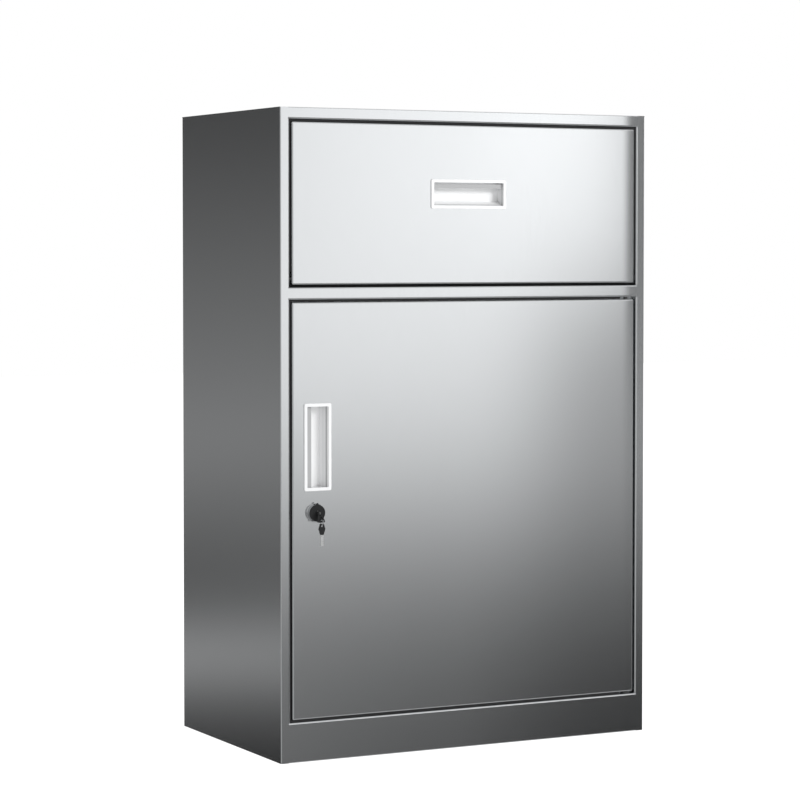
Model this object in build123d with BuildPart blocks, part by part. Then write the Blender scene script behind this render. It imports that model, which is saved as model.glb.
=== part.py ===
from build123d import *

import os
from math import acos, cos, degrees, radians, sin, tan

# Book drop box: a free-standing sheet-steel cabinet with a tilt-out deposit hopper above
# and a locked collection door below. Millimetres. +X is to the right seen from the front,
# +Y goes back and +Z is up. The origin is at floor level under the middle of the footprint.

# ---- driving dimensions ----------------------------------------------------------------

# Cabinet
WIDTH = 650.0
DEPTH = 380.0
HEIGHT = 1000.0
SHEET = 1.0
FRONT = -180.0  # the front plane; the hanging keys stand 20 mm forward of it
TOUCH = 0.2  # air beside a sheet that is spot-welded in place

# Face frame
STILE = 15.5
TOP_RAIL = 18.0
RAIL_TOP = 726.5
MIDDLE_RAIL = 19.0
PLINTH = 61.5
STOP_DEPTH = 25.0
STOP_LIP = 11.0
REAR_FLANGE = 18.0
FOOT_FLANGE = 18.0
FLOOR_FLANGE = 20.0
FRAME_FOLD = 2.5
OUTER_FOLD = 1.3
INNER_FOLD = 1.2

# Back panel rivets
RIVET_X = 316.0
RIVET_SHANK_R = 1.6
RIVET_HOLE_R = 1.65
RIVET_HEAD_R = 3.2
RIVET_HEAD = 1.2
RIVET_FIRST_Z = 70.0
RIVET_PITCH = 122.5
RIVET_COUNT = 8

# Bumpers on the stop lips
BUMPER_R = 3.2
BUMPER_CROWN = 1.0
BUMPER_X = 302.0
DOOR_BUMPER_HEIGHTS = (120.0, 650.0)
HOPPER_BUMPER_Z = 950.0

# Rubber strips that close the gaps round the leaves
SEAL_BACK = 4.0
SEAL_DEPTH = 8.0
SEAL_AIR = 0.6
SEAL_END_X = 282.0
SIDE_SEAL_Z = 750.0
FOOT_SEAL_BACK = 13.0
FOOT_SEAL_DEPTH = 6.0

# Hopper front and door leaf
GAP = 4.0
LEAF_DEPTH = 20.0
LEAF_FOLD = 2.2
LEAF_CORNER = 2.4
LEAF_LIP = 12.0

# Recessed pulls
PULL_LENGTH = 134.0
PULL_HEIGHT = 46.0
PULL_CORNER = 3.0
PULL_PROUD = 2.0
PULL_DEPTH = 18.6
PULL_BORDER = 5.0
PULL_WALL = 1.4
GRIP_HEIGHT = 6.5
GRIP_GROOVE = 2.0
GRIP_SETBACK = 2.5
GRIP_THICK = 3.0
RAMP_RUN = 7.0
HOPPER_PULL_Z = 870.5
DOOR_PULL_X = -263.0
DOOR_PULL_Z = 482.3

# Hopper mechanism; its pivot is measured back from the front plane
HOPPER_PIVOT_BACK = 9.0
HOPPER_PIVOT_Z = 739.5
HOPPER_TILT = 42.0
CHEEK_X = 296.5
CHEEK_RADIUS = 226.0
CHEEK_FLANGE = 12.0
TAB_RADIUS = 250.0
TAB_ANGLE = 6.0
TRAY_SLOPE = 30.0
TRAY_REACH = 222.0
TRAY_HEM = 8.0
TRAY_UPSTAND_Z = 752.0
BAFFLE_BACK = 240.0
BAFFLE_BOTTOM = 708.0
BAFFLE_FLANGE = 20.0
BAFFLE_HEM = 12.0
CHEEK_RIVET_X = 290.5
CHEEK_RIVET_HEIGHTS = (770.0, 860.0, 945.0)
TRAY_RIVET_XS = (-240.0, -80.0, 80.0, 240.0)
TRAY_RIVET_Z = 745.5

# Pivots
PIN_R = 3.0
BORE_R = 3.05
BUSH_R = 5.0
BUSH_HOLE_R = 5.05
BUSH_FLANGE_R = 6.4
PIN_HEAD_R = 5.0
PIN_HEAD = 2.0
DOOR_PIVOT_X = 295.5
DOOR_PIVOT_BACK = 10.0
PIN_REACH = 9.0
BUSH_FLANGE = 1.2

# Door stiffener: half widths of its crown and its feet, and its depth
HAT_CROWN = 30.0
HAT_FOOT = 45.0
HAT_DEPTH = 18.0

# Lock
LOCK_X = -267.0
LOCK_Z = 382.0
BEZEL_R = 14.7
BEZEL = 1.6
FACE_R = 13.0
COLLAR_PROUD = 6.2
FACE_GAP = 0.3
FACE_PROUD = 8.8
NIB_R = 15.6
NIB_ROOT = (3.6, 12.0)
BARREL_R = 9.0
BARREL_LENGTH = 26.0
PLUG_R = 6.4
PLUG_BORE_R = 6.45
CAM_BACK = 27.0
CAM_THICK = 2.0
CAM_REACH = 42.0
CAM_WIDTH = 13.0
CAM_HUB_R = 8.5
SCREW_R = 2.0
SCREW_HOLE_R = 2.05
SCREW_HEAD = 2.4
SCREW_REACH = 6.0
CROSS_SLOT = (0.9, 4.4)

# Keys; outlines and drops are measured from the lock's axis or from the spare key's hole
KEY_PROUD = 15.0
BLADE_THICK = 2.0
BLADE_HEIGHT = 8.0
KEY_EYE_R = 2.6
KEY_PIN_R = 0.8
KEY_PIN_HOLE_R = 0.85
BOW_THICK = 3.4
BOW_FORK_X = 3.2
BOW_NOTCH_X = 1.3
BOW_BAR_DROP = 12.5
BOW_OUTLINE = ((-3.2, 0.6), (3.2, 0.6), (9.6, -14.0), (-3.6, -14.0))
BOW_SLOT = ((0.2, -4.6), (2.6, -4.6), (7.2, -11.0), (-1.2, -11.0))
BOW_FOOT_FILLET = 2.0
RING_OFFSET_X = 4.0
RING_R = 4.6
RING_WIRE_R = 0.6
RING_DROP = 1.4
SPARE_THICK = 2.8
SPARE_HOLE_R = 1.8
SPARE_HOLE_DROP = 0.8
SPARE_TOP = 3.2
SPARE_BOW = 16.9
SPARE_OUTLINE = (
    (-3.0, 3.2),
    (3.0, 3.2),
    (5.4, -4.5),
    (2.4, -13.7),
    (-2.4, -13.7),
    (-5.4, -4.5),
)
SPARE_CORNER = 1.2
SPARE_BLADE = (4.6, 17.0)
SPARE_CUT = 1.1
SPARE_CUT_DROPS = (4.0, 7.0, 10.0, 13.0)

# ---- worked out from them --------------------------------------------------------------

BACK = FRONT + DEPTH
OPENING_X = WIDTH / 2 - STILE
RAIL_END_X = OPENING_X + FRAME_FOLD
LEAF_X = OPENING_X - GAP
LIP_X = OPENING_X - STOP_LIP
SIDE_INNER_X = WIDTH / 2 - SHEET
TOP_RAIL_Z = HEIGHT - TOP_RAIL
RAIL_BOTTOM = RAIL_TOP - MIDDLE_RAIL
DOOR_BOTTOM = PLINTH + GAP
DOOR_TOP = RAIL_BOTTOM - GAP
HOPPER_BOTTOM = RAIL_TOP + GAP
HOPPER_TOP = TOP_RAIL_Z - GAP
RIVET_HEIGHTS = [RIVET_FIRST_Z + RIVET_PITCH * step for step in range(RIVET_COUNT)]
BACK_RIVETS = [(side * RIVET_X, z) for side in (-1, 1) for z in RIVET_HEIGHTS]
CHEEK_RIVETS = [(side * CHEEK_RIVET_X, z) for side in (-1, 1) for z in CHEEK_RIVET_HEIGHTS]
TRAY_RIVETS = [(x, TRAY_RIVET_Z) for x in TRAY_RIVET_XS]
DOOR_BUMPERS = [(-BUMPER_X, z) for z in DOOR_BUMPER_HEIGHTS]
HOPPER_BUMPERS = [(side * BUMPER_X, HOPPER_BUMPER_Z) for side in (-1, 1)]
INNER_PANEL_BACK = LEAF_DEPTH + SHEET
PULL_OPENING = (PULL_LENGTH - 2 * PULL_BORDER, PULL_HEIGHT - 2 * PULL_BORDER)
PULL_CUP = (PULL_OPENING[0] + 2 * PULL_WALL, PULL_OPENING[1] + 2 * PULL_WALL)
KEY_Y = FRONT - KEY_PROUD
RING_X = LOCK_X + RING_OFFSET_X
RING_Z = LOCK_Z - BOW_BAR_DROP - RING_DROP
SPARE_HOLE_Z = RING_Z - RING_R - SPARE_HOLE_DROP


def back(distance):
    """Y of a place this far behind the front plane."""
    return FRONT + distance


def facing(distance):
    """Plane this far behind the front plane, looking forward, with X right and Z up."""
    return Plane.XZ.offset(-back(distance))


def across(x):
    """Plane at this X, looking along +X, with Y and Z as its own axes."""
    return Plane.YZ.offset(x)


def level(z):
    """Horizontal plane at this height."""
    return Plane.XY.offset(z)


def hopper_point(radius, angle):
    """(Y, Z) at this radius and angle above the horizontal, about the hopper's pivot."""
    y = back(HOPPER_PIVOT_BACK) + radius * cos(radians(angle))
    z = HOPPER_PIVOT_Z + radius * sin(radians(angle))
    return (y, z)


def folded_section(plane, outline, folds, side=Side.LEFT):
    """Section of a bent sheet: its outer line with rounded folds, thickened to one side."""
    with BuildSketch(plane) as section:
        with BuildLine():
            FilletPolyline(*outline, radius=folds)
            offset(amount=SHEET, side=side)
        make_face()
    return section.sketch


def mirrored(part):
    """The same piece for the other side of the cabinet."""
    with BuildPart() as other:
        mirror(part, about=Plane.YZ)
    return other.part


def save(part, name):
    """Label a finished piece and write its STEP file."""
    part.label = name
    export_step(part, f"parts/{name}.step")


# ---- carcass ---------------------------------------------------------------------------


def make_left_side():
    """Outer sheet with its front stile, stop lip, rear flange and foot flange."""
    outline = [
        (-LIP_X, back(STOP_DEPTH)),
        (-OPENING_X, back(STOP_DEPTH)),
        (-OPENING_X, FRONT),
        (-WIDTH / 2, FRONT),
        (-WIDTH / 2, BACK),
        (-WIDTH / 2 + REAR_FLANGE, BACK),
    ]
    folds = [INNER_FOLD, FRAME_FOLD, OUTER_FOLD, OUTER_FOLD]
    foot_length = DEPTH - LEAF_DEPTH - 3 * SHEET
    rail_spans = [(0, PLINTH), (RAIL_BOTTOM, RAIL_TOP), (TOP_RAIL_Z, HEIGHT)]
    corner = (Align.MIN, Align.MIN)
    with BuildPart() as panel:
        extrude(folded_section(Plane.XY, outline, folds, Side.RIGHT), amount=HEIGHT - SHEET)
        with BuildSketch(Plane.XY):
            with Locations((-SIDE_INNER_X, back(LEAF_DEPTH))):
                Rectangle(FOOT_FLANGE, foot_length, align=corner)
        extrude(amount=SHEET)
        # the rails run past the stile's fold, so the joint lies on flat sheet
        with BuildSketch(facing(STOP_DEPTH + 2 * SHEET)):
            for low, high in rail_spans:
                with Locations((-RAIL_END_X, low)):
                    Rectangle(RAIL_END_X - LIP_X + SHEET, high - low, align=corner)
        extrude(amount=STOP_DEPTH + 3 * SHEET, mode=Mode.SUBTRACT)
        with BuildSketch(across(-RAIL_END_X)):
            with Locations(hopper_point(0, 0)):
                Circle(BUSH_HOLE_R)
        extrude(amount=2 * FRAME_FOLD, mode=Mode.SUBTRACT)
        with BuildSketch(facing(DEPTH + SHEET)):
            with Locations(*[(-RIVET_X, z) for z in RIVET_HEIGHTS]):
                Circle(RIVET_HOLE_R)
        extrude(amount=3 * SHEET, mode=Mode.SUBTRACT)
    return panel.part


def make_top():
    """Top sheet with the top rail folded down at its front edge."""
    outline = [
        (back(STOP_DEPTH), TOP_RAIL_Z + STOP_LIP),
        (back(STOP_DEPTH), TOP_RAIL_Z),
        (FRONT, TOP_RAIL_Z),
        (FRONT, HEIGHT),
        (BACK, HEIGHT),
    ]
    section = folded_section(
        across(-RAIL_END_X), outline, [INNER_FOLD, FRAME_FOLD, OUTER_FOLD], Side.RIGHT
    )
    wing = WIDTH / 2 - RAIL_END_X
    wing_x = WIDTH / 2 - wing / 2
    middle_y = FRONT + DEPTH / 2
    with BuildPart() as panel:
        extrude(section, amount=2 * RAIL_END_X)
        with BuildSketch(level(HEIGHT - SHEET)):
            with Locations((-wing_x, middle_y), (wing_x, middle_y)):
                Rectangle(wing, DEPTH)
        extrude(amount=SHEET)
    return panel.part


def make_rail(outline, folds, lip_z, pivot_z):
    """Front rail between the stiles, with a door pivot hole in the return at pivot_z."""
    with BuildPart() as rail:
        extrude(folded_section(across(-RAIL_END_X), outline, folds), amount=2 * RAIL_END_X)
        # its stop lip ends where the stiles' own lips begin
        with BuildSketch(facing(STOP_DEPTH + 2 * SHEET)):
            with Locations((-RAIL_END_X, lip_z), (RAIL_END_X, lip_z)):
                Rectangle(2 * (RAIL_END_X - LIP_X + TOUCH), 3 * STOP_LIP)
        extrude(amount=4 * SHEET, mode=Mode.SUBTRACT)
        with BuildSketch(level(pivot_z - SHEET)):
            with Locations((DOOR_PIVOT_X, back(DOOR_PIVOT_BACK))):
                Circle(BORE_R)
        extrude(amount=3 * SHEET, mode=Mode.SUBTRACT)
    return rail.part


def make_middle_rail():
    """Rail between the hopper and the door, with a stop lip hanging behind the door."""
    outline = [
        (back(STOP_DEPTH), RAIL_BOTTOM - STOP_LIP),
        (back(STOP_DEPTH), RAIL_BOTTOM),
        (FRONT, RAIL_BOTTOM),
        (FRONT, RAIL_TOP),
        (back(STOP_DEPTH) - 3 * SHEET, RAIL_TOP),
    ]
    folds = [INNER_FOLD, FRAME_FOLD, FRAME_FOLD]
    return make_rail(outline, folds, RAIL_BOTTOM - STOP_LIP / 2, RAIL_BOTTOM)


def make_plinth():
    """Plinth down to the floor, with a stop lip standing behind the door."""
    outline = [
        (back(STOP_DEPTH), PLINTH + STOP_LIP),
        (back(STOP_DEPTH), PLINTH),
        (FRONT, PLINTH),
        (FRONT, 0),
        (back(FOOT_FLANGE), 0),
    ]
    folds = [INNER_FOLD, FRAME_FOLD, OUTER_FOLD]
    return make_rail(outline, folds, PLINTH + STOP_LIP / 2, PLINTH - SHEET)


def make_back():
    """Flat back sheet, riveted inside the side panels' rear flanges."""
    with BuildPart() as panel:
        with BuildSketch(facing(DEPTH - SHEET)):
            with Locations((0, HEIGHT / 2)):
                Rectangle(2 * (SIDE_INNER_X - 3 * TOUCH), HEIGHT - 2 * (SHEET + TOUCH))
            with Locations(*BACK_RIVETS):
                Circle(RIVET_HOLE_R, mode=Mode.SUBTRACT)
        extrude(amount=SHEET)
    return panel.part


def make_rivets(places, head_back, grip):
    """Rivets with domed heads, whose undersides lie head_back behind the front plane."""
    with BuildPart() as rivets:
        with BuildSketch(facing(head_back)):
            with Locations(*places):
                Circle(RIVET_SHANK_R)
        extrude(amount=grip)
        with BuildSketch(facing(head_back + RIVET_HEAD)):
            with Locations(*places):
                Circle(RIVET_HEAD_R)
        extrude(amount=RIVET_HEAD)
        domes = rivets.faces().filter_by(Axis.Y).group_by(Axis.Y)[-1]
        fillet(domes.edges(), radius=0.9 * RIVET_HEAD)
    return rivets.part


def make_floor():
    """Floor of the collection space, with its edges folded down all round."""
    front_y = back(STOP_DEPTH + SHEET + TOUCH)
    rear_y = BACK - 2 * SHEET - TOUCH
    with BuildPart() as floor:
        with BuildSketch(level(PLINTH - FLOOR_FLANGE)):
            with Locations((0, (front_y + rear_y) / 2)):
                Rectangle(2 * (SIDE_INNER_X - TOUCH), rear_y - front_y)
        extrude(amount=FLOOR_FLANGE)
        offset(amount=-SHEET, openings=floor.faces().sort_by(Axis.Z)[0])
    return floor.part


def make_baffle():
    """Anti-reach baffle: hangs from the top just behind the sweep of the hopper's tray."""
    outline = [
        (back(BAFFLE_BACK + BAFFLE_FLANGE), HEIGHT - SHEET),
        (back(BAFFLE_BACK), HEIGHT - SHEET),
        (back(BAFFLE_BACK), BAFFLE_BOTTOM),
        (back(BAFFLE_BACK + BAFFLE_HEM), BAFFLE_BOTTOM),
    ]
    half = SIDE_INNER_X - TOUCH
    section = folded_section(across(-half), outline, [OUTER_FOLD, OUTER_FOLD])
    with BuildPart() as baffle:
        extrude(section, amount=2 * half)
    return baffle.part


def make_bumpers(places, thick):
    """Rubber buttons on the front of the stop lips, for a leaf to close on."""
    with BuildPart() as bumpers:
        with BuildSketch(facing(STOP_DEPTH)):
            with Locations(*places):
                Circle(BUMPER_R)
        extrude(amount=thick)
        crowns = bumpers.faces().filter_by(Axis.Y).group_by(Axis.Y)[0]
        fillet(crowns.edges(), radius=BUMPER_CROWN)
    return bumpers.part


def make_door_seals():
    """Rubber strip over, under and left of the door; it stops short of the hinge pins."""
    middle_z = (DOOR_BOTTOM + DOOR_TOP) / 2
    height = RAIL_BOTTOM - PLINTH
    with BuildPart() as seals:
        with BuildSketch(facing(SEAL_BACK + SEAL_DEPTH)):
            with Locations((0, middle_z)):
                Rectangle(2 * OPENING_X, height)
                inner = (2 * (LEAF_X + SEAL_AIR), height - 2 * (GAP - SEAL_AIR))
                Rectangle(*inner, mode=Mode.SUBTRACT)
            with Locations((OPENING_X, middle_z)):
                Rectangle(2 * (OPENING_X - SEAL_END_X), height, mode=Mode.SUBTRACT)
        extrude(amount=SEAL_DEPTH)
    return seals.part


def make_hopper_seals():
    """Rubber strips over and beside the hopper front, and one under it behind its pivot."""
    side_height = TOP_RAIL_Z - SIDE_SEAL_Z
    foot_height = GAP - SEAL_AIR
    down = (Align.CENTER, Align.MIN)
    with BuildPart() as seals:
        with BuildSketch(facing(SEAL_BACK + SEAL_DEPTH)):
            with Locations((0, SIDE_SEAL_Z)):
                Rectangle(2 * OPENING_X, side_height, align=down)
                inner = (2 * (LEAF_X + SEAL_AIR), side_height - foot_height)
                Rectangle(*inner, align=down, mode=Mode.SUBTRACT)
        extrude(amount=SEAL_DEPTH)
        with BuildSketch(facing(FOOT_SEAL_BACK + FOOT_SEAL_DEPTH)):
            with Locations((0, RAIL_TOP)):
                Rectangle(2 * (OPENING_X - TOUCH), foot_height, align=down)
        extrude(amount=FOOT_SEAL_DEPTH)
    return seals.part


def make_hopper_bushes():
    """Flanged bushes in the stiles' returns, for the hopper's pivot pins."""
    with BuildPart() as bushes:
        with BuildSketch(across(OPENING_X - BUSH_FLANGE)):
            with Locations(hopper_point(0, 0)):
                Circle(BUSH_FLANGE_R)
                Circle(BORE_R, mode=Mode.SUBTRACT)
        extrude(amount=BUSH_FLANGE)
        with BuildSketch(across(OPENING_X)):
            with Locations(hopper_point(0, 0)):
                Circle(BUSH_R)
                Circle(BORE_R, mode=Mode.SUBTRACT)
        extrude(amount=3 * SHEET)
        mirror(about=Plane.YZ)
    return bushes.part


def make_door_pin(head_z, tip_z):
    """Upright pivot pin, headed inside the rail that carries it."""
    rise = 1 if tip_z > head_z else -1
    with BuildPart() as pin:
        with BuildSketch(level(head_z)):
            with Locations((DOOR_PIVOT_X, back(DOOR_PIVOT_BACK))):
                Circle(PIN_R)
        extrude(amount=tip_z - head_z)
        chamfer(pin.edges().sort_by(Axis.Z)[-1 if rise > 0 else 0], length=0.6)
        with BuildSketch(level(head_z)):
            with Locations((DOOR_PIVOT_X, back(DOOR_PIVOT_BACK))):
                Circle(PIN_HEAD_R)
        extrude(amount=-rise * PIN_HEAD)
    return pin.part


def make_thrust_washer():
    """Washer that the door stands on, round the lower pin."""
    with BuildPart() as washer:
        with BuildSketch(level(PLINTH)):
            with Locations((DOOR_PIVOT_X, back(DOOR_PIVOT_BACK))):
                Circle(BUSH_FLANGE_R)
                Circle(BORE_R, mode=Mode.SUBTRACT)
        extrude(amount=GAP - TOUCH)
    return washer.part


# ---- leaves and pulls ------------------------------------------------------------------


def make_leaf(bottom, top, pull_place, pull_cut):
    """Pan-shaped leaf: flat front, folded edges, back lips and a cut-out for its pull."""
    middle = (0, (bottom + top) / 2)
    with BuildPart() as leaf:
        with BuildSketch(facing(LEAF_DEPTH)):
            with Locations(middle):
                RectangleRounded(2 * LEAF_X, top - bottom, LEAF_CORNER)
        extrude(amount=LEAF_DEPTH)
        fillet(leaf.faces().sort_by(Axis.Y)[0].edges(), radius=LEAF_FOLD)
        offset(amount=-SHEET, openings=leaf.faces().sort_by(Axis.Y)[-1])
        with BuildSketch(facing(LEAF_DEPTH)):
            with Locations(middle):
                RectangleRounded(2 * LEAF_X, top - bottom, LEAF_CORNER)
                inner_x = 2 * (LEAF_X - LEAF_LIP)
                Rectangle(inner_x, top - bottom - 2 * LEAF_LIP, mode=Mode.SUBTRACT)
        extrude(amount=SHEET)
        with BuildSketch(facing(2 * SHEET)):
            with Locations(pull_place):
                Rectangle(*pull_cut)
        extrude(amount=3 * SHEET, mode=Mode.SUBTRACT)
    return leaf.part


def make_pull(face):
    """Recessed pull on a face plane whose Y axis points to the gripped edge."""
    length, height = PULL_OPENING
    pocket = PULL_DEPTH - PULL_WALL
    grip_middle = height / 2 - GRIP_GROOVE - GRIP_HEIGHT / 2
    ramp_foot = -height / 2 + RAMP_RUN
    end_plane = Plane(
        origin=face.origin - face.x_dir * (length / 2), x_dir=face.y_dir, z_dir=face.x_dir
    )
    with BuildPart() as pull:
        with BuildSketch(face):
            RectangleRounded(PULL_LENGTH, PULL_HEIGHT, PULL_CORNER)
        extrude(amount=PULL_PROUD)
        rim = pull.faces().sort_by(Axis(face.origin, face.z_dir))[-1]
        fillet(rim.edges(), radius=0.9)
        with BuildSketch(face):
            RectangleRounded(*PULL_CUP, PULL_CORNER - PULL_WALL)
        extrude(amount=-PULL_DEPTH)
        with BuildSketch(face.offset(PULL_PROUD)):
            RectangleRounded(length, height, PULL_WALL)
        extrude(amount=-PULL_PROUD - pocket, mode=Mode.SUBTRACT)
        # grip bar from end to end, open behind for the fingertips
        with BuildSketch(face.offset(-GRIP_SETBACK)):
            with Locations((0, grip_middle)):
                Rectangle(length + PULL_WALL, GRIP_HEIGHT)
        extrude(amount=-GRIP_THICK)
        # sloping wall along the other edge
        with BuildSketch(end_plane):
            with BuildLine():
                Polyline(
                    (-height / 2 - PULL_WALL / 2, 0),
                    (-height / 2, 0),
                    (ramp_foot, -pocket),
                    (ramp_foot, -pocket - PULL_WALL / 2),
                    (-height / 2 - PULL_WALL / 2, -pocket - PULL_WALL / 2),
                    close=True,
                )
            make_face()
        extrude(amount=length)
    return pull.part


# ---- hopper ----------------------------------------------------------------------------


def make_hopper_front():
    """Hopper front leaf with its two pivot holes."""
    cut = (PULL_CUP[0] + 2 * TOUCH, PULL_CUP[1] + 2 * TOUCH)
    with BuildPart() as leaf:
        add(make_leaf(HOPPER_BOTTOM, HOPPER_TOP, (0, HOPPER_PULL_Z), cut))
        with BuildSketch(across(-LEAF_X - SHEET)):
            with Locations(hopper_point(0, 0)):
                Circle(BORE_R)
        extrude(amount=2 * (LEAF_X + SHEET), mode=Mode.SUBTRACT)
    return leaf.part


def make_hopper_inner():
    """Inner panel that closes the back of the hopper front."""
    with BuildPart() as panel:
        with BuildSketch(facing(INNER_PANEL_BACK)):
            with Locations((0, (HOPPER_BOTTOM + HOPPER_TOP) / 2)):
                RectangleRounded(2 * LEAF_X - GAP, HOPPER_TOP - HOPPER_BOTTOM - GAP, LEAF_CORNER)
            with Locations(*CHEEK_RIVETS, *TRAY_RIVETS):
                Circle(RIVET_HOLE_R, mode=Mode.SUBTRACT)
        extrude(amount=SHEET)
    return panel.part


def make_left_cheek():
    """Sector-shaped side of the hopper, flanged to the inner panel, with its stop tab."""
    front_y = back(INNER_PANEL_BACK)
    run = INNER_PANEL_BACK - HOPPER_PIVOT_BACK
    front_foot = (front_y, HOPPER_PIVOT_Z - run * tan(radians(TRAY_SLOPE)))
    sweep = TRAY_SLOPE + degrees(acos(run / CHEEK_RADIUS))
    rail_y, rail_z = STOP_DEPTH - HOPPER_PIVOT_BACK, TOP_RAIL_Z - HOPPER_PIVOT_Z
    # at full tilt the tab's leading edge comes up behind the top rail's stop lip
    tab_top = 90 - HOPPER_TILT - degrees(rail_y / rail_z) - 0.15
    tab_low = tab_top - TAB_ANGLE
    tab_root = CHEEK_RADIUS - STOP_LIP
    with BuildPart() as cheek:
        with BuildSketch(across(-CHEEK_X)):
            with BuildLine():
                arc = CenterArc(hopper_point(0, 0), CHEEK_RADIUS, -TRAY_SLOPE, sweep)
                Polyline(arc @ 1, front_foot, arc @ 0)
            make_face()
            with BuildLine():
                Polyline(
                    hopper_point(tab_root, tab_low),
                    hopper_point(TAB_RADIUS, tab_low),
                    hopper_point(TAB_RADIUS, tab_top),
                    hopper_point(tab_root, tab_top),
                    close=True,
                )
            make_face()
        extrude(amount=SHEET)
        with BuildSketch(facing(INNER_PANEL_BACK + SHEET)):
            with Locations((-CHEEK_X, TRAY_UPSTAND_Z + GAP)):
                flange_height = HOPPER_TOP - TRAY_UPSTAND_Z - 6 * GAP
                Rectangle(CHEEK_FLANGE, flange_height, align=(Align.MIN, Align.MIN))
            with Locations(*CHEEK_RIVETS):
                Circle(RIVET_HOLE_R, mode=Mode.SUBTRACT)
        extrude(amount=SHEET)
    return cheek.part


def make_tray():
    """Tray between the cheeks: slopes back into the cabinet when the hopper is shut."""
    run = INNER_PANEL_BACK - HOPPER_PIVOT_BACK
    tip_y, tip_z = hopper_point(TRAY_REACH, -TRAY_SLOPE)
    slope = radians(TRAY_SLOPE)
    outline = [
        (back(INNER_PANEL_BACK), TRAY_UPSTAND_Z),
        (back(INNER_PANEL_BACK), HOPPER_PIVOT_Z - run * tan(slope)),
        (tip_y, tip_z),
        (tip_y - TRAY_HEM * sin(slope), tip_z - TRAY_HEM * cos(slope)),
    ]
    half = CHEEK_X - SHEET - TOUCH
    with BuildPart() as tray:
        section = folded_section(across(-half), outline, [OUTER_FOLD, OUTER_FOLD])
        extrude(section, amount=2 * half)
        with BuildSketch(facing(INNER_PANEL_BACK + 2 * SHEET)):
            with Locations(*TRAY_RIVETS):
                Circle(RIVET_HOLE_R)
        extrude(amount=2 * SHEET, mode=Mode.SUBTRACT)
    return tray.part


def make_pivot_plates():
    """Doubler plates inside the hopper front's edges, round the pivot pins."""
    plate_y = back(HOPPER_PIVOT_BACK + SHEET)
    with BuildPart() as plates:
        with BuildSketch(across(LEAF_X - 3 * SHEET)):
            with Locations((plate_y, HOPPER_PIVOT_Z + STOP_LIP)):
                Rectangle(LEAF_DEPTH - 6 * SHEET, 3 * STOP_LIP)
            with Locations(hopper_point(0, 0)):
                Circle(BORE_R, mode=Mode.SUBTRACT)
        extrude(amount=2 * SHEET)
        mirror(about=Plane.YZ)
    return plates.part


def make_hopper_pins():
    """Headed pins through the hopper front's edges into the stiles' bushes."""
    inner_x = LEAF_X - 3 * SHEET
    with BuildPart() as pins:
        with BuildSketch(across(inner_x - PIN_HEAD)):
            with Locations(hopper_point(0, 0)):
                Circle(PIN_HEAD_R)
        extrude(amount=PIN_HEAD)
        with BuildSketch(across(inner_x)):
            with Locations(hopper_point(0, 0)):
                Circle(PIN_R)
        extrude(amount=OPENING_X - inner_x + 7 * SHEET)
        mirror(about=Plane.YZ)
    return pins.part


# ---- door ------------------------------------------------------------------------------


def make_door_front():
    """Door leaf with its lock hole and the two pivot bush holes."""
    cut = (PULL_CUP[1] + 2 * TOUCH, PULL_CUP[0] + 2 * TOUCH)
    with BuildPart() as leaf:
        add(make_leaf(DOOR_BOTTOM, DOOR_TOP, (DOOR_PULL_X, DOOR_PULL_Z), cut))
        with BuildSketch(facing(2 * SHEET)):
            with Locations((LOCK_X, LOCK_Z)):
                Circle(BARREL_R + TOUCH / 4)
        extrude(amount=3 * SHEET, mode=Mode.SUBTRACT)
        with BuildSketch(level(DOOR_BOTTOM - SHEET)):
            with Locations((DOOR_PIVOT_X, back(DOOR_PIVOT_BACK))):
                Circle(BUSH_HOLE_R)
        extrude(amount=DOOR_TOP - DOOR_BOTTOM + 2 * SHEET, mode=Mode.SUBTRACT)
    return leaf.part


def make_stiffener():
    """Upright hat section spot-welded inside the door."""
    outline = [
        (-HAT_FOOT, back(SHEET)),
        (-HAT_CROWN, back(SHEET)),
        (-HAT_CROWN, back(HAT_DEPTH)),
        (HAT_CROWN, back(HAT_DEPTH)),
        (HAT_CROWN, back(SHEET)),
        (HAT_FOOT, back(SHEET)),
    ]
    foot_z = DOOR_BOTTOM + LEAF_LIP + GAP
    with BuildPart() as stiffener:
        section = folded_section(level(foot_z), outline, INNER_FOLD)
        extrude(section, amount=DOOR_TOP - DOOR_BOTTOM - 2 * (LEAF_LIP + GAP))
    return stiffener.part


def make_door_bushes():
    """Flanged bushes inside the door's top and bottom edges."""
    with BuildPart() as bushes:
        for edge_z, inward in ((DOOR_BOTTOM, 1), (DOOR_TOP, -1)):
            with BuildSketch(level(edge_z)):
                with Locations((DOOR_PIVOT_X, back(DOOR_PIVOT_BACK))):
                    Circle(BUSH_R)
                    Circle(BORE_R, mode=Mode.SUBTRACT)
            extrude(amount=inward * SHEET)
            with BuildSketch(level(edge_z + inward * SHEET)):
                with Locations((DOOR_PIVOT_X, back(DOOR_PIVOT_BACK))):
                    Circle(BUSH_FLANGE_R)
                    Circle(BORE_R, mode=Mode.SUBTRACT)
            extrude(amount=inward * 2 * SHEET)
    return bushes.part


# ---- lock and keys ---------------------------------------------------------------------


def lock_disc(distance, radius):
    """Disc on the lock's axis, on a plane this far behind the front plane."""
    with BuildSketch(facing(distance)) as disc:
        with Locations((LOCK_X, LOCK_Z)):
            Circle(radius)
    return disc.sketch


def make_lock_housing():
    """Chromed housing: rim and collar in front of the door, barrel behind it."""
    with BuildPart() as housing:
        extrude(lock_disc(0, BEZEL_R), amount=BEZEL)
        chamfer(housing.edges().sort_by(Axis.Y)[0], length=0.7)
        extrude(lock_disc(0, FACE_R), amount=COLLAR_PROUD)
        extrude(lock_disc(BARREL_LENGTH, BARREL_R), amount=BARREL_LENGTH)
        bore = BARREL_LENGTH + COLLAR_PROUD
        extrude(lock_disc(BARREL_LENGTH, PLUG_BORE_R), amount=bore, mode=Mode.SUBTRACT)
    return housing.part


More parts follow.
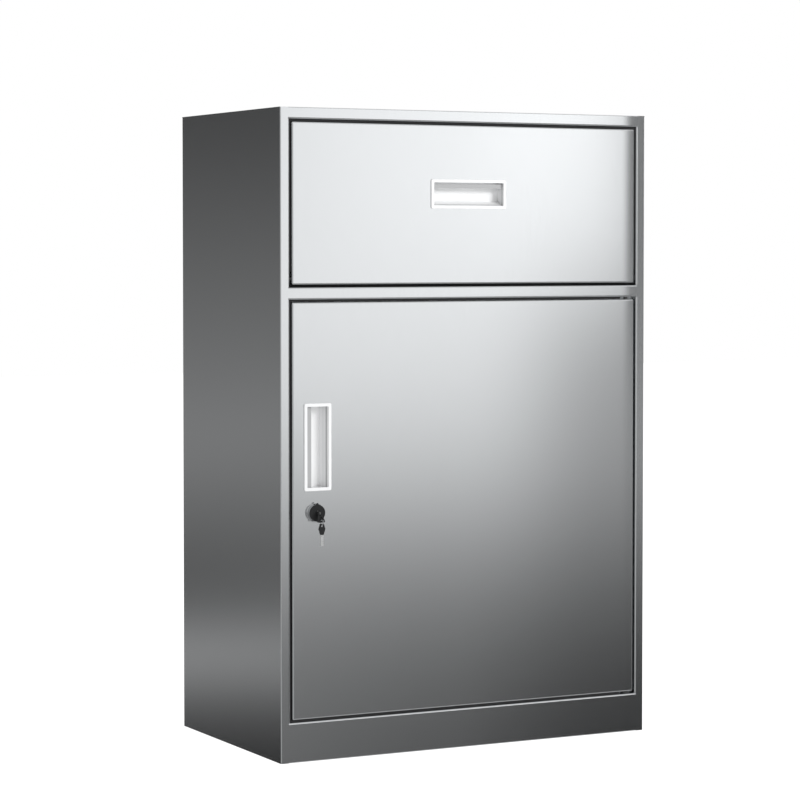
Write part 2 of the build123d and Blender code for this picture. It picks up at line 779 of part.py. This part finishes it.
def make_lock_nut():
    """Nut that clamps the housing to the door."""
    with BuildPart() as nut:
        with BuildSketch(facing(5 * SHEET)):
            with Locations((LOCK_X, LOCK_Z)):
                RegularPolygon(13, 6)
                Circle(BARREL_R + TOUCH / 4, mode=Mode.SUBTRACT)
        extrude(amount=4 * SHEET)
    return nut.part


def make_lock_face():
    """Turning face disc with its pointer and keyhole."""
    with BuildPart() as face:
        with BuildSketch(facing(-COLLAR_PROUD - FACE_GAP)):
            with Locations((LOCK_X, LOCK_Z)):
                Circle(FACE_R)
            with BuildLine():
                Polyline(
                    (LOCK_X - NIB_ROOT[0], LOCK_Z + NIB_ROOT[1]),
                    (LOCK_X, LOCK_Z + NIB_R),
                    (LOCK_X + NIB_ROOT[0], LOCK_Z + NIB_ROOT[1]),
                    close=True,
                )
            make_face()
        extrude(amount=FACE_PROUD - COLLAR_PROUD - FACE_GAP)
        fillet(face.faces().sort_by(Axis.Y)[0].edges(), radius=0.8)
        with BuildSketch(facing(-COLLAR_PROUD)):
            with Locations((LOCK_X, LOCK_Z)):
                Rectangle(BLADE_THICK + 2 * TOUCH, BLADE_HEIGHT + 2 * TOUCH)
        extrude(amount=FACE_PROUD, mode=Mode.SUBTRACT)
    return face.part


def make_lock_plug():
    """Turning plug, slotted for the key, drilled for the cam's screw."""
    front = COLLAR_PROUD + FACE_GAP
    slot_back = 17.0
    with BuildPart() as plug:
        extrude(lock_disc(CAM_BACK, PLUG_R), amount=CAM_BACK + front)
        with BuildSketch(facing(slot_back)):
            with Locations((LOCK_X, LOCK_Z)):
                Rectangle(BLADE_THICK + 2 * TOUCH, BLADE_HEIGHT + 2 * TOUCH)
        extrude(amount=slot_back + front, mode=Mode.SUBTRACT)
        extrude(lock_disc(CAM_BACK, SCREW_HOLE_R), amount=8, mode=Mode.SUBTRACT)
    return plug.part


def make_cam():
    """Locking tongue: hangs down when open and turns left behind the stile's lip."""
    with BuildPart() as cam:
        with BuildSketch(facing(CAM_BACK + CAM_THICK)):
            with Locations((LOCK_X, LOCK_Z)):
                Circle(CAM_HUB_R)
            with Locations((LOCK_X, LOCK_Z - CAM_REACH / 2)):
                RectangleRounded(CAM_WIDTH, CAM_REACH, 2.5)
            with Locations((LOCK_X, LOCK_Z)):
                Circle(SCREW_HOLE_R, mode=Mode.SUBTRACT)
        extrude(amount=CAM_THICK)
    return cam.part


def make_cam_screw():
    """Cross-head screw that holds the cam on the plug."""
    seat = CAM_BACK + CAM_THICK
    with BuildPart() as screw:
        extrude(lock_disc(seat, SCREW_R), amount=CAM_THICK + SCREW_REACH)
        extrude(lock_disc(seat + SCREW_HEAD, 2 * SCREW_R), amount=SCREW_HEAD)
        fillet(screw.edges().sort_by(Axis.Y)[-1], radius=SCREW_HEAD / 3)
        with BuildSketch(facing(seat + SCREW_HEAD)):
            with Locations((LOCK_X, LOCK_Z)):
                Rectangle(*CROSS_SLOT)
                Rectangle(*reversed(CROSS_SLOT))
        extrude(amount=SCREW_HEAD / 2, mode=Mode.SUBTRACT)
    return screw.part


def make_key_blade():
    """Blade in the plug, with the eye and hinge pin that carry its folding bow."""
    mouth = FRONT - FACE_PROUD
    tip = back(16)
    tang = 2 * KEY_EYE_R
    with BuildPart() as blade:
        with BuildSketch(across(LOCK_X - BLADE_THICK / 2)):
            with Locations(((mouth + tip) / 2, LOCK_Z)):
                Rectangle(tip - mouth, BLADE_HEIGHT)
            with Locations(((KEY_Y + mouth) / 2, LOCK_Z)):
                Rectangle(mouth - KEY_Y, tang)
            with Locations((KEY_Y, LOCK_Z)):
                Circle(KEY_EYE_R)
        extrude(amount=BLADE_THICK)
        with BuildSketch(across(LOCK_X - BOW_FORK_X)):
            with Locations((KEY_Y, LOCK_Z)):
                Circle(KEY_PIN_R)
        extrude(amount=2 * BOW_FORK_X)
    return blade.part


def make_key_bow():
    """Folding bow: a loop hanging from a fork, wide enough at its foot for the ring."""
    place = Location((LOCK_X, LOCK_Z))
    fork = BOW_FORK_X - BOW_NOTCH_X
    with BuildPart() as bow:
        with BuildSketch(facing(-KEY_PROUD + BOW_THICK / 2)) as face:
            with Locations(place):
                Polygon(*BOW_OUTLINE, align=None)
            fillet(face.vertices().group_by(Axis.Y)[0], radius=BOW_FOOT_FILLET)
            with Locations(place):
                Polygon(*BOW_SLOT, align=None, mode=Mode.SUBTRACT)
        extrude(amount=BOW_THICK)
        with BuildSketch(across(LOCK_X - BOW_FORK_X)):
            with Locations((KEY_Y, LOCK_Z)):
                Circle(KEY_EYE_R)
        extrude(amount=fork)
        with BuildSketch(across(LOCK_X + BOW_NOTCH_X)):
            with Locations((KEY_Y, LOCK_Z)):
                Circle(KEY_EYE_R)
        extrude(amount=fork)
        with BuildSketch(facing(-KEY_PROUD + 2 * KEY_EYE_R)):
            with Locations((LOCK_X, LOCK_Z)):
                Rectangle(2 * BOW_NOTCH_X, 2 * (KEY_EYE_R + 3 * TOUCH))
        extrude(amount=4 * KEY_EYE_R, mode=Mode.SUBTRACT)
        with BuildSketch(across(LOCK_X - 2 * BOW_FORK_X)):
            with Locations((KEY_Y, LOCK_Z)):
                Circle(KEY_PIN_HOLE_R)
        extrude(amount=4 * BOW_FORK_X, mode=Mode.SUBTRACT)
    return bow.part


def make_key_ring():
    """Thin wire ring through the bow's loop, standing edge-on to the door."""
    with BuildPart() as ring:
        with Locations(Location((RING_X, KEY_Y, RING_Z), (0, 90, 0))):
            Torus(RING_R, RING_WIRE_R)
    return ring.part


def make_spare_bow():
    """Teardrop bow of the spare key, hung on the ring by the hole at its top."""
    with BuildPart() as bow:
        with BuildSketch(facing(-KEY_PROUD + SPARE_THICK / 2)) as face:
            with Locations((RING_X, SPARE_HOLE_Z)):
                Polygon(*SPARE_OUTLINE, align=None)
            fillet(face.vertices(), radius=SPARE_CORNER)
            with Locations((RING_X, SPARE_HOLE_Z)):
                Circle(SPARE_HOLE_R, mode=Mode.SUBTRACT)
        extrude(amount=SPARE_THICK)
    return bow.part


def make_spare_blade():
    """Blade of the spare key, with four cuts along one edge."""
    top_z = SPARE_HOLE_Z + SPARE_TOP - SPARE_BOW
    width, length = SPARE_BLADE
    with BuildPart() as blade:
        with BuildSketch(facing(-KEY_PROUD + BLADE_THICK / 2)):
            with Locations((RING_X, top_z - length / 2)):
                Rectangle(width, length)
            with Locations(*[(RING_X + width / 2, top_z - drop) for drop in SPARE_CUT_DROPS]):
                RegularPolygon(SPARE_CUT, 4, mode=Mode.SUBTRACT)
        extrude(amount=BLADE_THICK)
    return blade.part


# ---- build every piece -----------------------------------------------------------------

os.makedirs("parts", exist_ok=True)

left_side = make_left_side()
save(left_side, "left_side_panel")
save(mirrored(left_side), "right_side_panel")
save(make_top(), "top_panel")
save(make_back(), "back_panel")
save(make_floor(), "cabinet_floor")
save(make_plinth(), "plinth_front")
save(make_middle_rail(), "middle_rail")
save(make_baffle(), "anti_reach_baffle")
save(make_rivets(BACK_RIVETS, DEPTH, 2 * SHEET), "back_panel_rivets")
save(make_bumpers(DOOR_BUMPERS, STOP_DEPTH - LEAF_DEPTH - TOUCH), "door_bumpers")
save(make_bumpers(HOPPER_BUMPERS, STOP_DEPTH - INNER_PANEL_BACK - TOUCH), "hopper_bumpers")
save(make_door_seals(), "door_seals")
save(make_hopper_seals(), "hopper_seals")
save(make_hopper_bushes(), "hopper_bushes")
save(make_door_pin(RAIL_BOTTOM + SHEET, DOOR_TOP - PIN_REACH), "upper_door_pin")
save(make_door_pin(PLINTH - SHEET, DOOR_BOTTOM + PIN_REACH), "lower_door_pin")
save(make_thrust_washer(), "door_thrust_washer")

hopper_face = Plane(origin=(0, FRONT, HOPPER_PULL_Z), x_dir=(1, 0, 0), z_dir=(0, -1, 0))
door_face = Plane(origin=(DOOR_PULL_X, FRONT, DOOR_PULL_Z), x_dir=(0, 0, 1), z_dir=(0, -1, 0))
save(make_hopper_front(), "hopper_front_panel")
save(make_hopper_inner(), "hopper_inner_panel")
left_cheek = make_left_cheek()
save(left_cheek, "hopper_left_cheek")
save(mirrored(left_cheek), "hopper_right_cheek")
save(make_tray(), "hopper_tray")
save(make_pull(hopper_face), "hopper_pull")
save(make_pivot_plates(), "hopper_pivot_plates")
save(make_hopper_pins(), "hopper_pivot_pins")
hopper_rivets = make_rivets(CHEEK_RIVETS + TRAY_RIVETS, INNER_PANEL_BACK + SHEET, 2 * SHEET)
save(hopper_rivets, "hopper_rivets")

save(make_door_front(), "door_front_panel")
save(make_stiffener(), "door_stiffener")
save(make_pull(door_face), "door_pull")
save(make_door_bushes(), "door_bushes")

save(make_lock_housing(), "lock_housing")
save(make_lock_nut(), "lock_nut")
save(make_lock_face(), "lock_face")
save(make_lock_plug(), "lock_plug")
save(make_cam(), "lock_cam")
save(make_cam_screw(), "cam_screw")
save(make_key_blade(), "key_blade")
save(make_key_bow(), "key_bow")
save(make_key_ring(), "key_ring")
save(make_spare_bow(), "spare_key_bow")
save(make_spare_blade(), "spare_key_blade")
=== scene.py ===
import math

import bpy
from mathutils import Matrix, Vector

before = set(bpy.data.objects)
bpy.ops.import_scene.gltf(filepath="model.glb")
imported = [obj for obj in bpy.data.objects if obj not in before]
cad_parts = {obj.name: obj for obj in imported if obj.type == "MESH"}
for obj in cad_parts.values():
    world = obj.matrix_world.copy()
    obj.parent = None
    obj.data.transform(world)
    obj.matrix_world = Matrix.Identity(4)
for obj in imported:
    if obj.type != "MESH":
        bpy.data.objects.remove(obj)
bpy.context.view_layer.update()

# ---- helpers ---------------------------------------------------------------------------


def new_tree(material_name):
    """An empty node material with its output, ready to be filled."""
    material = bpy.data.materials.new(material_name)
    material.use_nodes = True
    tree = material.node_tree
    tree.nodes.clear()
    return material, tree


def node(tree, kind, **settings):
    """Add a node and set its plain attributes."""
    made = tree.nodes.new(kind)
    for key, value in settings.items():
        setattr(made, key, value)
    return made


def maths(tree, operation, first, second=None):
    """A Math node; each operand is a socket or a number."""
    made = node(tree, "ShaderNodeMath", operation=operation)
    for slot, operand in enumerate((first, second)):
        if operand is None:
            continue
        if isinstance(operand, (int, float)):
            made.inputs[slot].default_value = operand
        else:
            tree.links.new(operand, made.inputs[slot])
    return made.outputs[0]


def vector_maths(tree, operation, first, second=None):
    """A Vector Math node; each operand is a socket or a tuple."""
    made = node(tree, "ShaderNodeVectorMath", operation=operation)
    for slot, operand in enumerate((first, second)):
        if operand is None:
            continue
        if isinstance(operand, tuple):
            made.inputs[slot].default_value = operand
        else:
            tree.links.new(operand, made.inputs[slot])
    return made.outputs["Vector"]


def spread(tree, value, low, high, to_low=0.0, to_high=1.0, kind="SMOOTHSTEP"):
    """A clamped Map Range node."""
    made = node(tree, "ShaderNodeMapRange", interpolation_type=kind)
    tree.links.new(value, made.inputs["Value"])
    for key, number in zip(("From Min", "From Max", "To Min", "To Max"), (low, high, to_low, to_high)):
        made.inputs[key].default_value = number
    return made.outputs["Result"]


def ramp(tree, value, stops, low, high):
    """Brightness by value, from (value, brightness) stops between low and high."""
    position = spread(tree, value, low, high, kind="LINEAR")
    made = node(tree, "ShaderNodeValToRGB")
    made.color_ramp.interpolation = "LINEAR"
    elements = made.color_ramp.elements
    while len(elements) > 1:
        elements.remove(elements[-1])
    for index, (at, brightness) in enumerate(stops):
        place = (at - low) / (high - low)
        element = elements[0] if index == 0 else elements.new(place)
        element.position = place
        element.color = (brightness, brightness, brightness, 1.0)
    tree.links.new(position, made.inputs["Fac"])
    return made.outputs["Color"]


def blend_colors(tree, factor, first, second):
    """Mix two colours by a factor socket."""
    made = node(tree, "ShaderNodeMix", data_type="RGBA")
    tree.links.new(factor, made.inputs["Factor"])
    for name, colour in (("A", first), ("B", second)):
        socket = [s for s in made.inputs if s.name == name and s.type == "RGBA"][0]
        if isinstance(colour, tuple):
            socket.default_value = colour
        else:
            tree.links.new(colour, socket)
    return [s for s in made.outputs if s.type == "RGBA"][0]


def noise(tree, scale, stretch=(1.0, 1.0, 1.0), detail=4.0, roughness=0.55):
    """Noise over the object's own coordinates, stretched for grain."""
    coordinates = node(tree, "ShaderNodeTexCoord")
    mapping = node(tree, "ShaderNodeMapping")
    mapping.inputs["Scale"].default_value = stretch
    made = node(tree, "ShaderNodeTexNoise")
    made.inputs["Scale"].default_value = scale
    made.inputs["Detail"].default_value = detail
    made.inputs["Roughness"].default_value = roughness
    tree.links.new(coordinates.outputs["Object"], mapping.inputs["Vector"])
    tree.links.new(mapping.outputs["Vector"], made.inputs["Vector"])
    return made.outputs["Fac"]


def finish_material(tree, colour, roughness, bump=None, tangent=None, **constants):
    """The shader: colour and roughness sockets, an optional normal and tangent, and constants."""
    shader = node(tree, "ShaderNodeBsdfPrincipled")
    output = node(tree, "ShaderNodeOutputMaterial")
    for key, value in constants.items():
        shader.inputs[key.replace("_", " ")].default_value = value
    tree.links.new(colour, shader.inputs["Base Color"])
    tree.links.new(roughness, shader.inputs["Roughness"])
    if bump is not None:
        tree.links.new(bump, shader.inputs["Normal"])
    if tangent is not None:
        tree.links.new(tangent, shader.inputs["Tangent"])
    tree.links.new(shader.outputs["BSDF"], output.inputs["Surface"])


def relief(tree, height, distance, strength=1.0, under=None):
    """A Bump node over a height socket in units of distance."""
    made = node(tree, "ShaderNodeBump")
    made.inputs["Strength"].default_value = strength
    made.inputs["Distance"].default_value = distance
    tree.links.new(height, made.inputs["Height"])
    if under is not None:
        tree.links.new(under, made.inputs["Normal"])
    return made.outputs["Normal"]


# ---- materials -------------------------------------------------------------------------

GRIP_FRONT = -0.1775  # front face of the pulls' grip bars
POCKET_FLOOR = GRIP_FRONT + 0.0080  # where the painted light on the pocket floor begins
BOW = 0.10  # lean of the front sheets' normals at their right edge
BOW_FROM, BOW_TO = -0.02, 0.31  # the stretch of x over which they lean
EDGE_ROLL = 0.05  # and the last roll-off beside the fold
ROLL_FROM, ROLL_TO = 0.280, 0.304  # the stretch of x of the roll-off


def sheet_bow(tree):
    """Surface normal of the front sheets, which bow back a little towards their right edge."""
    geometry = node(tree, "ShaderNodeNewGeometry")
    coordinates = node(tree, "ShaderNodeTexCoord")
    place = node(tree, "ShaderNodeSeparateXYZ")
    facing = node(tree, "ShaderNodeSeparateXYZ")
    tree.links.new(coordinates.outputs["Object"], place.inputs["Vector"])
    tree.links.new(coordinates.outputs["Normal"], facing.inputs["Vector"])
    across = spread(tree, place.outputs["X"], BOW_FROM, BOW_TO, kind="LINEAR")
    bow = maths(tree, "MULTIPLY", maths(tree, "POWER", across, 1.5), BOW)
    rolled = spread(tree, place.outputs["X"], ROLL_FROM, ROLL_TO)
    roll = maths(tree, "MULTIPLY", rolled, EDGE_ROLL)
    tilt = maths(tree, "ADD", bow, roll)
    frontal = spread(tree, facing.outputs["Y"], -0.97, -0.999, kind="LINEAR")
    tilt = maths(tree, "MULTIPLY", tilt, frontal)
    lean = node(tree, "ShaderNodeCombineXYZ")
    tree.links.new(tilt, lean.inputs["X"])
    turn = node(tree, "ShaderNodeVectorTransform", vector_type="VECTOR")
    turn.convert_from, turn.convert_to = "OBJECT", "WORLD"
    tree.links.new(lean.outputs["Vector"], turn.inputs["Vector"])
    leaning = vector_maths(tree, "ADD", geometry.outputs["Normal"], turn.outputs["Vector"])
    return vector_maths(tree, "NORMALIZE", leaning)


def level_tangent(tree):
    """Horizontal direction across the upright grain, on any face."""
    geometry = node(tree, "ShaderNodeNewGeometry")
    level = vector_maths(tree, "CROSS_PRODUCT", geometry.outputs["Normal"], (0.0, 0.0, 1.0))
    return vector_maths(tree, "NORMALIZE", vector_maths(tree, "ADD", level, (0.002, 0.0, 0.0)))


def satin_steel():
    """Fine-ground stainless sheet: neutral, with a close upright grain."""
    material, tree = new_tree("satin_stainless")
    grain = noise(tree, 90.0, (9.0, 9.0, 0.35), detail=6.0, roughness=0.7)
    cloud = noise(tree, 3.0, (1.0, 1.0, 0.6), detail=2.0)
    colour = blend_colors(tree, cloud, (0.715, 0.732, 0.745, 1.0), (0.731, 0.747, 0.760, 1.0))
    roughness = spread(tree, grain, 0.25, 0.75, 0.165, 0.195, kind="LINEAR")
    bump = relief(tree, grain, 0.00001, strength=0.3, under=sheet_bow(tree))
    tangent = level_tangent(tree)
    finish_material(tree, colour, roughness, bump, tangent, Metallic=1.0, Anisotropic=0.6)
    return material


def mill_steel_and_shade():
    """Inside sheets: unground mill finish, rougher and cloudier; its colour is also darkened well
    below the outer steel as painted shade that keeps the gaps dark.
    """
    material, tree = new_tree("mill_stainless_and_shade")
    cloud = noise(tree, 9.0, detail=5.0)
    # Partly painted shade: this grey is darker than ground stainless, standing in for the shade inside
    # the cabinet seen through the gaps.
    colour = blend_colors(tree, cloud, (0.36, 0.365, 0.37, 1.0), (0.44, 0.445, 0.45, 1.0))
    roughness = spread(tree, cloud, 0.3, 0.7, 0.42, 0.52, kind="LINEAR")
    finish_material(tree, colour, roughness, Metallic=1.0)
    return material


def painted_plastic(name, dark, light, low, high, grain_scale=900.0, grain=0.00002, **constants):
    """Moulded plastic: a faint mottle in the colour and a very fine moulded grain."""
    material, tree = new_tree(name)
    mottle = noise(tree, 14.0, detail=2.0)
    fine = noise(tree, grain_scale, detail=3.0)
    colour = blend_colors(tree, mottle, dark, light)
    roughness = spread(tree, fine, 0.3, 0.7, low, high, kind="LINEAR")
    bump = relief(tree, fine, grain, strength=0.5)
    finish_material(tree, colour, roughness, bump, **constants)
    return material


def pull_plastic():
    """White moulded pull: painted shade on the face of its finger bar, painted light on the pocket
    floor, and painted shade in tight corners.
    """
    material, tree = new_tree("white_moulding")
    mottle = noise(tree, 14.0, detail=2.0)
    fine = noise(tree, 900.0, detail=3.0)
    colour = blend_colors(tree, mottle, (0.70, 0.705, 0.71, 1.0), (0.735, 0.74, 0.745, 1.0))
    coordinates = node(tree, "ShaderNodeTexCoord")
    place = node(tree, "ShaderNodeSeparateXYZ")
    tree.links.new(coordinates.outputs["Object"], place.inputs["Vector"])
    depth = place.outputs["Y"]
    # Painted shade: the finger bar's front face is coloured dark grey, standing in for the shade it
    # lies in.
    behind_rim = spread(tree, depth, GRIP_FRONT - 0.0005, GRIP_FRONT - 0.0001)
    before_floor = spread(tree, depth, GRIP_FRONT + 0.0016, GRIP_FRONT + 0.0030, 1.0, 0.0)
    grip_painted_shade = maths(tree, "MULTIPLY", behind_rim, before_floor)
    # Painted light: the pocket floor is coloured lighter, standing in for light falling on it.
    floor = spread(tree, depth, POCKET_FLOOR, POCKET_FLOOR + 0.0030)
    colour = blend_colors(tree, floor, colour, (0.82, 0.825, 0.83, 1.0))
    colour = blend_colors(tree, grip_painted_shade, colour, (0.36, 0.363, 0.368, 1.0))
    # Painted shade: ambient occlusion darkens the colour in tight corners.
    corner_shade_occlusion = node(tree, "ShaderNodeAmbientOcclusion", samples=8)
    corner_shade_occlusion.inputs["Distance"].default_value = 0.012
    painted_shade_openness = spread(tree, corner_shade_occlusion.outputs["AO"], 0.14, 0.48, kind="LINEAR")
    colour = blend_colors(tree, painted_shade_openness, (0.24, 0.242, 0.246, 1.0), colour)
    roughness = spread(tree, fine, 0.3, 0.7, 0.36, 0.44, kind="LINEAR")
    finish_material(tree, colour, roughness, relief(tree, fine, 0.00002, strength=0.5))
    return material


def metal(name, dark, light, low, high, scale, stretch=(1.0, 1.0, 1.0), depth=0.00001):
    """Small metal parts: blotchy colour and roughness from one stretched noise."""
    material, tree = new_tree(name)
    blotch = noise(tree, scale, stretch, detail=5.0)
    colour = blend_colors(tree, blotch, dark, light)
    roughness = spread(tree, blotch, 0.3, 0.7, low, high, kind="LINEAR")
    bump = relief(tree, blotch, depth, strength=0.4)
    finish_material(tree, colour, roughness, bump, Metallic=1.0)
    return material


finishes = {
    "satin_steel": satin_steel(),
    "white_plastic": pull_plastic(),
    "black_plastic": painted_plastic(
        "black_moulding",
        (0.012, 0.0125, 0.013, 1.0),
        (0.019, 0.0195, 0.02, 1.0),
        0.42,
        0.52,
        Specular_IOR_Level=0.22,
    ),
    "chrome": metal(
        "bright_chrome", (0.53, 0.54, 0.55, 1.0), (0.58, 0.59, 0.60, 1.0), 0.05, 0.10, 40.0
    ),
    "zinc_steel": metal(
        "zinc_plate", (0.52, 0.53, 0.53, 1.0), (0.68, 0.69, 0.70, 1.0), 0.28, 0.42, 220.0
    ),
    "key_steel": metal(
        "nickel_key",
        (0.80, 0.81, 0.81, 1.0),
        (0.88, 0.89, 0.89, 1.0),
        0.24,
        0.34,
        300.0,
        (1.0, 1.0, 6.0),
    ),
    "nylon": painted_plastic(
        "black_nylon", (0.03, 0.03, 0.031, 1.0), (0.045, 0.045, 0.046, 1.0), 0.45, 0.55
    ),
    "rubber": painted_plastic(
        "black_rubber",
        (0.014, 0.014, 0.015, 1.0),
        (0.024, 0.024, 0.025, 1.0),
        0.68,
        0.80,
        grain_scale=500.0,
        grain=0.00005,
    ),
}

INSIDE = (
    "anti_reach_baffle",
    "cabinet_floor",
    "door_stiffener",
    "hopper_inner_panel",
    "hopper_left_cheek",
    "hopper_right_cheek",
    "hopper_tray",
)
# Inside parts get the duller finish, whose darker colour is partly painted shade.
inside_finish_and_shade = mill_steel_and_shade()
dark_finish = metal(
    "burnished_steel", (0.14, 0.14, 0.14, 1.0), (0.20, 0.20, 0.20, 1.0), 0.35, 0.45, 260.0
)
for name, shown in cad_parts.items():
    given = shown.data.materials[0].name
    shown.data.materials[0] = inside_finish_and_shade if name in INSIDE else finishes[given.split(".")[0]]
for name in ("key_blade", "upper_door_pin", "lower_door_pin", "hopper_pivot_pins"):
    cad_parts[name].data.materials[0] = dark_finish

# ---- studio ----------------------------------------------------------------------------


# Brightness by elevation in degrees, tuned for each part of the horizon.
WHOLE_SKY = (-90.0, 90.0)
NEAR_LEVEL = (-14.0, 8.0)
ROOM = [
    (-90, 0.50), (-30, 0.38), (-10, 0.42), (0, 0.54), (15, 0.68), (45, 0.72),
    (90, 0.62),
]
LEFT = [
    (-90, 0.50), (-30, 0.40), (-12, 0.38), (0, 0.50), (20, 0.66), (90, 0.62),
]
FRONT_LEFT = [
    (-12, 0.16), (-9.1, 0.21), (-7.0, 0.31), (-6.0, 0.42), (-5.2, 0.62), (-4.2, 0.87),
    (-2.7, 1.06), (-1.0, 0.97), (1, 0.88), (6, 0.86),
]
FRONT_MIDDLE = [
    (-12, 0.02), (-9.1, 0.05), (-7.8, 0.11), (-6.5, 0.24), (-5.4, 0.60), (-4.4, 1.0),
    (-3.0, 1.28), (-1.5, 1.36), (0, 1.47), (2, 1.5), (6, 1.45),
]
FRONT_RIGHT = [
    (-12, 0.01), (-9.1, 0.02), (-7.8, 0.05), (-6.5, 0.14), (-5.2, 0.32), (-4.2, 0.48),
    (-2.5, 0.36), (-1.6, 0.42), (-0.8, 0.92), (0.0, 1.34), (1.5, 1.48), (6, 1.45),
]
FAR_RIGHT = [
    (-12, 0.01), (-9.5, 0.02), (-7.8, 0.06), (-6.5, 0.16), (-5.2, 0.28), (-4.0, 0.42),
    (-1.2, 0.16), (0.2, 0.05), (2, 0.01), (6, 0.01),
]
REAR_LEFT = [
    (-12, 0.01), (-10.0, 0.01), (-9.3, 0.06), (-8.8, 0.42), (-8.2, 0.58), (-7.8, 0.09),
    (-7.0, 0.06), (-6.2, 0.12), (-5.35, 0.17), (-4.0, 0.28), (-2.6, 0.20), (0.2, 0.125),
    (2.7, 0.06), (6, 0.03),
]


def studio_world():
    """White to the camera and even to diffuse rays; to reflections, brightness by direction."""
    world = bpy.data.worlds.new("studio")
    bpy.context.scene.world = world
    world.use_nodes = True
    tree = world.node_tree
    tree.nodes.clear()
    coordinates = node(tree, "ShaderNodeTexCoord")
    parts = node(tree, "ShaderNodeSeparateXYZ")
    tree.links.new(coordinates.outputs["Generated"], parts.inputs["Vector"])
    east, south, up = parts.outputs
    forward = maths(tree, "MULTIPLY", south, -1.0)
    azimuth = maths(tree, "DEGREES", maths(tree, "ARCTAN2", east, forward))
    elevation = maths(tree, "DEGREES", maths(tree, "ARCSINE", up))

    room = ramp(tree, elevation, ROOM, *WHOLE_SKY)
    left = ramp(tree, elevation, LEFT, *WHOLE_SKY)
    front_left = ramp(tree, elevation, FRONT_LEFT, *NEAR_LEVEL)
    front_middle = ramp(tree, elevation, FRONT_MIDDLE, *NEAR_LEVEL)
    front_right = ramp(tree, elevation, FRONT_RIGHT, *NEAR_LEVEL)
    far_right = ramp(tree, elevation, FAR_RIGHT, *NEAR_LEVEL)
    rear_left = ramp(tree, elevation, REAR_LEFT, *NEAR_LEVEL)

    front = blend_colors(tree, spread(tree, azimuth, 24.0, 28.0), front_left, front_middle)
    front = blend_colors(tree, spread(tree, azimuth, 28.0, 37.0), front, front_right)
    front = blend_colors(tree, spread(tree, azimuth, 43.2, 46.5), front, far_right)
    above = spread(tree, elevation, 6.0, 16.0)
    below = spread(tree, elevation, -14.0, -23.0)
    outside = maths(tree, "MAXIMUM", above, below)
    front = blend_colors(tree, outside, front, room)
    rear = blend_colors(tree, outside, rear_left, room)

    left_mask = maths(
        tree,
        "MULTIPLY",
        spread(tree, azimuth, -135.0, -110.0),
        spread(tree, azimuth, 5.0, 18.0, 1.0, 0.0),
    )
    rear_mask = maths(
        tree,
        "MULTIPLY",
        spread(tree, azimuth, -179.5, -174.0),
        spread(tree, azimuth, -145.0, -130.0, 1.0, 0.0),
    )
    front_mask = maths(
        tree,
        "MULTIPLY",
        spread(tree, azimuth, 8.0, 20.0),
        spread(tree, azimuth, 58.0, 76.0, 1.0, 0.0),
    )
    light = blend_colors(tree, left_mask, room, left)
    light = blend_colors(tree, rear_mask, light, rear)
    light = blend_colors(tree, front_mask, light, front)

    path = node(tree, "ShaderNodeLightPath")
    light = blend_colors(tree, path.outputs["Is Diffuse Ray"], light, (0.75, 0.75, 0.75, 1.0))
    seen = blend_colors(tree, path.outputs["Is Camera Ray"], light, (1.0, 1.0, 1.0, 1.0))
    background = node(tree, "ShaderNodeBackground")
    output = node(tree, "ShaderNodeOutputWorld")
    tree.links.new(seen, background.inputs["Color"])
    tree.links.new(background.outputs["Background"], output.inputs["Surface"])


def studio_floor():
    """A plain pale floor, kept out of the steel's reflections."""
    mesh = bpy.data.meshes.new("floor")
    half = 12.0
    corners = [(-half, -half, 0), (half, -half, 0), (half, half, 0), (-half, half, 0)]
    mesh.from_pydata(corners, [], [(0, 1, 2, 3)])
    floor = bpy.data.objects.new("floor", mesh)
    bpy.context.scene.collection.objects.link(floor)
    material = bpy.data.materials.new("floor_white")
    material.use_nodes = True
    shader = material.node_tree.nodes["Principled BSDF"]
    shader.inputs["Base Color"].default_value = (0.30, 0.30, 0.30, 1.0)
    shader.inputs["Roughness"].default_value = 0.9
    shader.inputs["Emission Color"].default_value = (1.0, 1.0, 1.0, 1.0)
    shader.inputs["Emission Strength"].default_value = 0.90
    mesh.materials.append(material)
    floor.visible_glossy = False
    floor.location.z = -0.0005


def soft_light(name, place, target, size, watts):
    """A large square lamp aimed at a point."""
    data = bpy.data.lights.new(name, "AREA")
    data.shape = "SQUARE"
    data.size = size
    data.energy = watts
    lamp = bpy.data.objects.new(name, data)
    lamp.location = place
    aim = Vector(target) - Vector(place)
    lamp.rotation_euler = aim.to_track_quat("-Z", "Y").to_euler()
    lamp.visible_camera = False
    lamp.visible_glossy = False
    bpy.context.scene.collection.objects.link(lamp)


for name in ("key_ring", "spare_key_bow", "spare_key_blade"):
    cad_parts[name].visible_glossy = False

studio_world()
studio_floor()
soft_light("key", (1.9, -3.2, 2.2), (0, -0.18, 0.6), 1.3, 95.0)

camera_data = bpy.data.cameras.new("camera")
camera_data.sensor_width = 36.0
camera_data.lens = 123.1136
camera_data.shift_y = -0.06
camera_data.clip_end = 100.0
camera = bpy.data.objects.new("camera", camera_data)
camera.location = (-2.0703, -3.9425, 0.7845)
camera.rotation_euler = (math.radians(90.0 - 2.1521), 0.0, math.radians(-27.3869))
bpy.context.scene.collection.objects.link(camera)
bpy.context.scene.camera = camera
bpy.context.scene.view_settings.view_transform = "Standard"
